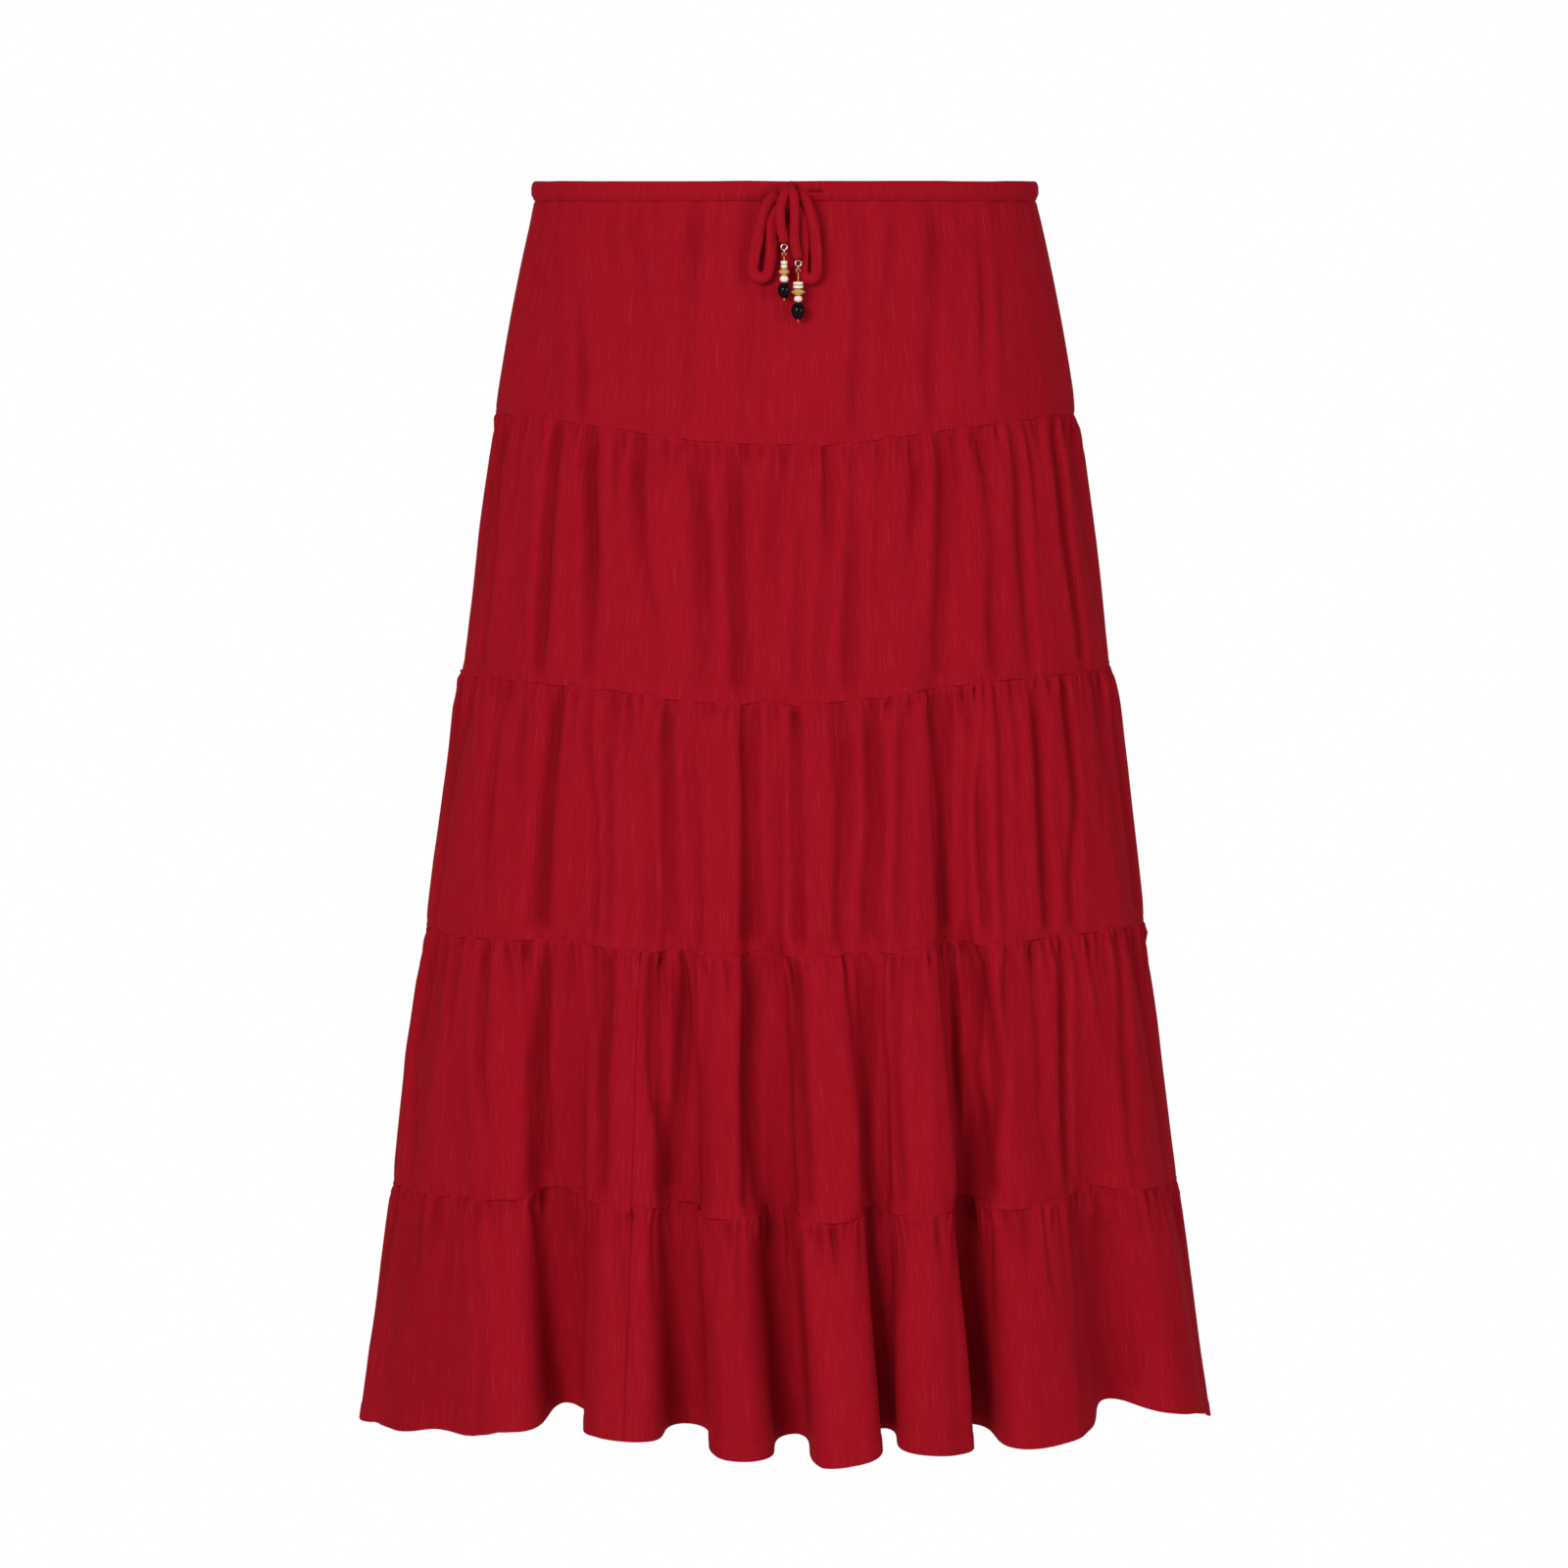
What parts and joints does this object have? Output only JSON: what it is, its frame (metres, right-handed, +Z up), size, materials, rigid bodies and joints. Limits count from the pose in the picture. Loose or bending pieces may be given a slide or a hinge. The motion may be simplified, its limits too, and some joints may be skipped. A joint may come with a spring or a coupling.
{
  "type": "tiered midi skirt with a beaded drawstring",
  "caption": "Tiered, gathered midi skirt, filled out and hanging from its drawstring waist, with a bow and two bead charms that swing.",
  "frame": {"origin": "middle of the waist opening, at half the height of the drawstring casing, where the wearer's waist holds the skirt up", "axes": "+Z up out of the waist, -Y the wearer's front with the bow, +X to the viewer's right"},
  "size_m": [0.566, 0.3389, 0.8245],
  "materials": {
    "red_cloth": "slubby plain-weave linen and viscose, piece-dyed deep red, matt",
    "shell_bead": "creamy white polished shell",
    "tan_bead": "waxed ochre wood",
    "black_bead": "polished black glass, opaque",
    "silver_wire": "plated wire, bright with dull spots",
    "gold_wire": "gold-coloured wire, bright"
  },
  "bodies": {
    "skirt": {"waist_casing": "red_cloth", "yoke_front": "red_cloth", "yoke_back": "red_cloth", "tier_2_front": "red_cloth", "tier_2_back": "red_cloth", "tier_3_front": "red_cloth", "tier_3_back": "red_cloth", "tier_4_front_left": "red_cloth", "tier_4_front_right": "red_cloth", "tier_4_back": "red_cloth", "tier_5_front_left": "red_cloth", "tier_5_front_right": "red_cloth", "tier_5_back": "red_cloth", "bow_knot": "red_cloth", "bow_loop_left": "red_cloth", "bow_loop_right": "red_cloth", "tie_end_left": "red_cloth", "tie_end_right": "red_cloth", "charm_left_ring": "silver_wire", "charm_right_ring": "silver_wire"},
    "charm_left": {"charm_left_link": "silver_wire", "charm_left_pin": "gold_wire", "charm_left_disc_1": "shell_bead", "charm_left_disc_2": "shell_bead", "charm_left_saucer": "tan_bead", "charm_left_spacer": "shell_bead", "charm_left_drop": "black_bead"},
    "charm_right": {"charm_right_link": "silver_wire", "charm_right_pin": "gold_wire", "charm_right_disc_1": "shell_bead", "charm_right_disc_2": "shell_bead", "charm_right_saucer": "tan_bead", "charm_right_spacer": "shell_bead", "charm_right_drop": "black_bead"}
  },
  "joints": [
    {"name": "charm_left_swing", "type": "hinge", "parent": "skirt", "child": "charm_left", "pos_m": [-0.0006, -0.1198, -0.0377], "axis": [-1, 0, 0], "range_deg": [0, 75]},
    {"name": "charm_right_swing", "type": "hinge", "parent": "skirt", "child": "charm_right", "pos_m": [0.0084, -0.12, -0.0481], "axis": [-1, 0, 0], "range_deg": [0, 75]}
  ]
}
